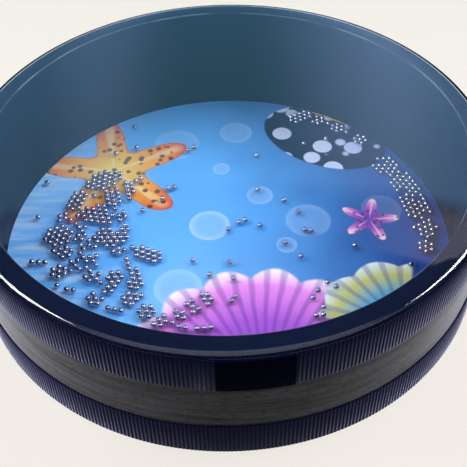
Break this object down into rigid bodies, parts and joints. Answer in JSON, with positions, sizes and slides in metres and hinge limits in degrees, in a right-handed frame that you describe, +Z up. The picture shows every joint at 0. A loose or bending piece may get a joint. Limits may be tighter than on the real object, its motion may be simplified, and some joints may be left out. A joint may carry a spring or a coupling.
{
  "type": "ocean drum",
  "caption": "Shallow round drum with a clear head, a printed head and a ribbon-trimmed hoop; loose steel balls roll inside it with a surf-like sound.",
  "frame": {"origin": "middle of the bottom face of the printed head", "axes": "+Z up through the clear head, -Y towards the front of the picture, +X to its right"},
  "size_m": [0.2, 0.2012, 0.052],
  "materials": {
    "painted_wood": "satin",
    "grain_film": "matte",
    "clear_film": "gloss",
    "printed_film": "gloss",
    "grosgrain": "matte",
    "steel": "polished"
  },
  "bodies": {
    "drum": {"hoop": "painted_wood", "grain_wrap": "grain_film", "top_head": "clear_film", "bottom_head": "printed_film", "top_ribbon": "grosgrain", "bottom_ribbon": "grosgrain"},
    "centre_ball": {"centre_ball": "steel"},
    "stray_ball_01": {"stray_ball_01": "steel"},
    "stray_ball_02": {"stray_ball_02": "steel"},
    "stray_ball_03": {"stray_ball_03": "steel"},
    "stray_ball_04": {"stray_ball_04": "steel"},
    "stray_ball_05": {"stray_ball_05": "steel"},
    "stray_ball_06": {"stray_ball_06": "steel"},
    "stray_ball_07": {"stray_ball_07": "steel"},
    "stray_ball_08": {"stray_ball_08": "steel"},
    "stray_ball_09": {"stray_ball_09": "steel"},
    "stray_ball_10": {"stray_ball_10": "steel"},
    "stray_ball_11": {"stray_ball_11": "steel"},
    "stray_ball_12": {"stray_ball_12": "steel"},
    "stray_ball_13": {"stray_ball_13": "steel"},
    "stray_ball_14": {"stray_ball_14": "steel"},
    "scattered_balls": {"scattered_balls": "steel"},
    "left_drift": {"left_drift": "steel"},
    "rim_drift": {"rim_drift": "steel"},
    "front_drift": {"front_drift": "steel"},
    "right_drift": {"right_drift": "steel"},
    "back_drift": {"back_drift": "steel"}
  },
  "joints": [
    {"name": "turn_over", "type": "slide", "parent": "drum", "child": "centre_ball", "axis": [0, 0, 1], "range_m": [0, 0.0484]},
    {"name": "swirl", "type": "hinge", "parent": "centre_ball", "child": "scattered_balls", "pos_m": [0, 0, 0], "axis": [0, 0, 1], "continuous": true},
    {"name": "left_run", "type": "slide", "parent": "scattered_balls", "child": "left_drift", "axis": [0.1736, 0.9848, 0], "range_m": [0, 0.008]},
    {"name": "rim_run", "type": "slide", "parent": "scattered_balls", "child": "rim_drift", "axis": [0.2588, -0.9659, 0], "range_m": [0, 0.01]},
    {"name": "front_run", "type": "slide", "parent": "scattered_balls", "child": "front_drift", "axis": [0.5, -0.866, 0], "range_m": [0, 0.012]},
    {"name": "right_run", "type": "hinge", "parent": "scattered_balls", "child": "right_drift", "pos_m": [0, 0, 0], "axis": [0, 0, 1], "range_deg": [-12, 3]},
    {"name": "back_run", "type": "hinge", "parent": "scattered_balls", "child": "back_drift", "pos_m": [0, 0, 0], "axis": [0, 0, 1], "range_deg": [-3, 16]},
    {"name": "roll_01", "type": "slide", "parent": "scattered_balls", "child": "stray_ball_01", "axis": [0.9848, 0.1736, 0], "range_m": [-0.014, 0.014]},
    {"name": "roll_02", "type": "slide", "parent": "scattered_balls", "child": "stray_ball_02", "axis": [-0.1736, 0.9848, 0], "range_m": [-0.014, 0.014]},
    {"name": "roll_03", "type": "slide", "parent": "scattered_balls", "child": "stray_ball_03", "axis": [0, 1, 0], "range_m": [-0.014, 0.014]},
    {"name": "roll_04", "type": "slide", "parent": "scattered_balls", "child": "stray_ball_04", "axis": [0.9848, 0.1736, 0], "range_m": [-0.014, 0.014]},
    {"name": "roll_05", "type": "slide", "parent": "scattered_balls", "child": "stray_ball_05", "axis": [1, 0, 0], "range_m": [-0.014, 0.014]},
    {"name": "roll_06", "type": "slide", "parent": "scattered_balls", "child": "stray_ball_06", "axis": [1, 0, 0], "range_m": [-0.014, 0.014]},
    {"name": "roll_07", "type": "slide", "parent": "scattered_balls", "child": "stray_ball_07", "axis": [1, 0, 0], "range_m": [-0.014, 0.014]},
    {"name": "roll_08", "type": "slide", "parent": "scattered_balls", "child": "stray_ball_08", "axis": [0.5, 0.866, 0], "range_m": [-0.014, 0.014]},
    {"name": "roll_09", "type": "slide", "parent": "scattered_balls", "child": "stray_ball_09", "axis": [1, 0, 0], "range_m": [-0.014, 0.014]},
    {"name": "roll_10", "type": "slide", "parent": "scattered_balls", "child": "stray_ball_10", "axis": [1, 0, 0], "range_m": [-0.014, 0.014]},
    {"name": "roll_11", "type": "slide", "parent": "scattered_balls", "child": "stray_ball_11", "axis": [1, 0, 0], "range_m": [-0.014, 0.014]},
    {"name": "roll_12", "type": "slide", "parent": "scattered_balls", "child": "stray_ball_12", "axis": [0.1736, 0.9848, 0], "range_m": [-0.014, 0.014]},
    {"name": "roll_13", "type": "slide", "parent": "scattered_balls", "child": "stray_ball_13", "axis": [0.9848, 0.1736, 0], "range_m": [-0.014, 0.014]},
    {"name": "roll_14", "type": "slide", "parent": "scattered_balls", "child": "stray_ball_14", "axis": [0.342, 0.9397, 0], "range_m": [-0.014, 0.003]}
  ]
}
